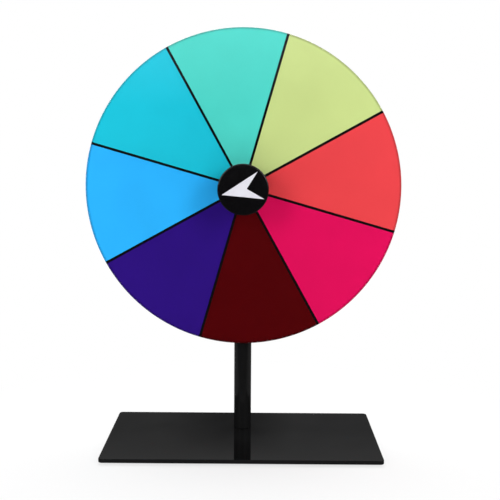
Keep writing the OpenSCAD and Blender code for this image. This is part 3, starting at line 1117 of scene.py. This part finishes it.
rib_start = Vector((boss_radius - BOSS_WALL / 2, web_back - CUP_WEB / 2, spindle.z - RIB_THICK / 2))
rib_end = Vector((inner_radius + CUP_WALL / 2, pointer_seat, spindle.z + RIB_THICK / 2))
rib = add(
    bpy.ops.mesh.primitive_cube_add,
    size=1,
    location=(rib_start + rib_end) / 2,
    scale=rib_end - rib_start,
)
for index in range(RIB_COUNT):
    unite(cup, copy_of(rib, turn_at_spindle(2 * math.pi * index / RIB_COUNT, "Y")))
bpy.data.objects.remove(rib)
hand_over(cup, "pointer_cup", "pointer", satin_black, "pointer_body")

# %% [markdown]
# ## Pointer cover
# The cover is spun from half an outline that starts and ends on the spindle. Its front rim is rounded
# to catch a thin line of light, and its back rim is broken a little, like the cup's front rim, which
# leaves the fine seam between two moulded pieces. A thin skirt behind keeps the bearing in place.

# %% Pointer cover
COVER_THICK = 3 * MM
COVER_ROUND = 0.9 * MM
SKIRT_GAP = 0.05 * MM

cover_low, cover_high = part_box("pointer_cover")
cover_radius = half_width("pointer_cover")
cover_back = cover_low.y + COVER_THICK
skirt_radius = seat_radius - SKIRT_GAP
cover = spin_round([
    (0, cover_low.y),
    (cover_radius, cover_low.y),
    (cover_radius, cover_back),
    (skirt_radius, cover_back),
    (skirt_radius, cover_high.y),
    (LIP_RADIUS, cover_high.y),
    (LIP_RADIUS, cover_back),
    (0, cover_back),
])
soften(cover, cover_radius, cover_low.y, COVER_ROUND, segments=6)
soften(cover, cover_radius, cover_back, SEAM)
close_edit()
hand_over(cover, "pointer_front_cover", "pointer", satin_black, "pointer_cover")

# %% [markdown]
# ## Arrow
# The arrow is a die-cut piece of white film stuck on the cover. Its four corners are drawn as a line,
# filled with one face and pulled out to the thickness of the film. Small bevels soften the corners
# and the cut edge, because a blade never leaves them perfectly sharp.

# %% White film
FILM_WHITE = (0.72, 0.71, 0.775)

white_film = new_finish("white_film", Specular_IOR_Level=0.3)
vary_colour(white_film, FILM_WHITE, contrast=0.02, per_metre=250, detail=4)
vary_gloss(white_film, low=0.4, high=0.55, per_metre=900)
emboss(white_film, height=0.005 * MM, per_metre=2500)

# %% Arrow
ARROW_ANGLE = math.radians(194)
ARROW_REACH = 16.3 * MM
ARROW_LENGTH = 30 * MM
ARROW_SPAN = 21 * MM
ARROW_NOTCH = 11 * MM
ARROW_CORNER = 0.3 * MM
FILM_EDGE = 0.02 * MM

arrow_low, arrow_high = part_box("arrow")
along = Vector((math.cos(ARROW_ANGLE), 0, math.sin(ARROW_ANGLE)))
across = Vector((-along.z, 0, along.x))
arrow_middle = Vector((spindle.x, arrow_high.y, spindle.z))
wings = ARROW_REACH - ARROW_LENGTH
arrow = draw([
    arrow_middle + along * ARROW_REACH,
    arrow_middle + along * wings + across * ARROW_SPAN / 2,
    arrow_middle + along * (wings + ARROW_NOTCH),
    arrow_middle + along * wings - across * ARROW_SPAN / 2,
])
bpy.ops.mesh.edge_face_add()
bpy.ops.mesh.bevel(offset=ARROW_CORNER, segments=3, affect="VERTICES")
bpy.ops.mesh.select_all(action="SELECT")
to_front = (0, arrow_low.y - arrow_high.y, 0)
bpy.ops.mesh.extrude_region_move(TRANSFORM_OT_translate={"value": to_front})
bpy.ops.mesh.select_all(action="SELECT")
bpy.ops.mesh.normals_make_consistent(inside=False)
pick(arrow, "EDGE", lambda points: all(abs(point.y - arrow_low.y) < SAME_PLACE for point in points))
bpy.ops.mesh.bevel(offset=FILM_EDGE, segments=2)
merge_close()
close_edit()
hand_over(arrow, "white_arrow", "pointer", white_film, "arrow")

# %% [markdown]
# ## Zinc plate
# Screws, spacers, spindle and cap nut are bright zinc-plated steel. Plating follows the metal below, so
# it stays smooth, but its crystals cloud the gloss a little. Apart from the nut these pieces are
# nearly hidden, and their CAD shapes already have what one sees of them, so they only get the finish.

# %% Zinc plate
ZINC = (0.56, 0.57, 0.59)


def dress(material, *names):
    """Gives CAD pieces a finish."""
    for name in names:
        cad_nodes[name].data.materials.clear()
        cad_nodes[name].data.materials.append(material)
    print(material.name, "on", len(names), "CAD pieces")


zinc = new_finish("bright_zinc", Metallic=1)
vary_colour(zinc, ZINC, contrast=0.08, per_metre=150, detail=4)
vary_gloss(zinc, low=0.22, high=0.38, per_metre=800, detail=4)
emboss(zinc, height=0.003 * MM, per_metre=2200)
dress(
    zinc,
    "post_insert",
    "base_screw",
    "spindle",
    "rear_spacer",
    "mid_spacer",
    "retaining_washer",
    "retaining_screw",
    "hub_screws",
)

# %% [markdown]
# ## Cap nut
# The domed nut at the back is the brightest thing seen from behind. Its hexagon is a cylinder with six
# sides, trimmed by a turned shape with sloping ends, which leaves the curved chamfer of a real
# nut. A turned neck and dome are united with it, and the blind thread hole is drilled from the front.

# %% Hexagon of the nut
NUT_CORNER = 5.77 * MM
NUT_HEX = 5 * MM
NUT_FACE = 4.95 * MM
NUT_SLOPE = 0.55 * MM

nut_low, nut_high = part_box("spindle_nut")
hex_end = nut_low.y + NUT_HEX
nut = add(
    bpy.ops.mesh.primitive_cylinder_add,
    vertices=6,
    radius=NUT_CORNER,
    depth=NUT_HEX,
    location=(spindle.x, nut_low.y + NUT_HEX / 2, spindle.z),
    rotation=(math.pi / 2, math.pi / 6, 0),
)
chamfers = spin_round([
    (0, nut_low.y),
    (NUT_FACE, nut_low.y),
    (NUT_CORNER, nut_low.y + NUT_SLOPE),
    (NUT_CORNER, hex_end - NUT_SLOPE),
    (NUT_FACE, hex_end),
    (0, hex_end),
])
close_edit()
combine_shapes(nut, chamfers, "INTERSECT")
print("the hexagon has", len(nut.data.vertices), "corners")

# %% Dome and thread of the nut
DOME_RADIUS = 4.7 * MM
DOME_STEPS = 16
THREAD_RADIUS = 3.02 * MM
THREAD_DEPTH = 9.5 * MM

neck_end = nut_high.y - DOME_RADIUS
dome_turns = [math.pi / 2 * step / DOME_STEPS for step in range(DOME_STEPS + 1)]
dome = spin_round(
    [(0, nut_low.y + NUT_SLOPE), (DOME_RADIUS, nut_low.y + NUT_SLOPE)]
    + [(DOME_RADIUS * math.cos(turn), neck_end + DOME_RADIUS * math.sin(turn)) for turn in dome_turns]
)
close_edit()
unite(nut, dome)
drill(nut, add(
    bpy.ops.mesh.primitive_cylinder_add,
    vertices=HOLE_SIDES,
    radius=THREAD_RADIUS,
    depth=2 * THREAD_DEPTH,
    location=(spindle.x, nut_low.y, spindle.z),
    rotation=(math.pi / 2, 0, 0),
))
hand_over(nut, "domed_cap_nut", "stand", zinc, "spindle_nut")

# %% [markdown]
# ## Bearings
# The bearing rings and balls are ground steel, and the pressed shields get the same finish. Grinding
# leaves fine circles about the spindle, drawn here by a ring pattern that a Mapping node centres on
# it. The crown cages are natural nylon. Little of this shows from outside, but it is seen when the
# spinner is taken apart.

# %% Ground steel
GROUND_STEEL = (0.68, 0.69, 0.70)
RINGS_PER_METRE = 900

ground_steel = new_finish("ground_steel", Metallic=1)
vary_colour(ground_steel, GROUND_STEEL, contrast=0.05, per_metre=200)
vary_gloss(ground_steel, low=0.12, high=0.22, per_metre=1500)
centred = add_node(ground_steel, "Mapping", Location=-spindle)
wire(ground_steel, add_node(ground_steel, "TexCoord").outputs["Object"], centred.inputs["Vector"])
rings = add_node(ground_steel, "TexWave", Scale=RINGS_PER_METRE, Distortion=1.5)
rings.wave_type = "RINGS"
rings.rings_direction = "Y"
wire(ground_steel, centred.outputs["Vector"], rings.inputs["Vector"])
press(ground_steel, rings.outputs["Fac"], height=0.002 * MM)

# %% Nylon, and the bearings' finishes
NATURAL_NYLON = (0.72, 0.66, 0.50)

nylon = new_finish("natural_nylon", Specular_IOR_Level=0.35)
vary_colour(nylon, NATURAL_NYLON, contrast=0.06, per_metre=400)
vary_gloss(nylon, low=0.45, high=0.6, per_metre=1500)
emboss(nylon, height=0.01 * MM, per_metre=3000)
for bearing in ("wheel_bearing_", "pointer_bearing_"):
    dress(ground_steel, *[bearing + part for part in ("inner_ring", "outer_ring", "balls", "shields")])
    dress(nylon, bearing + "cage")
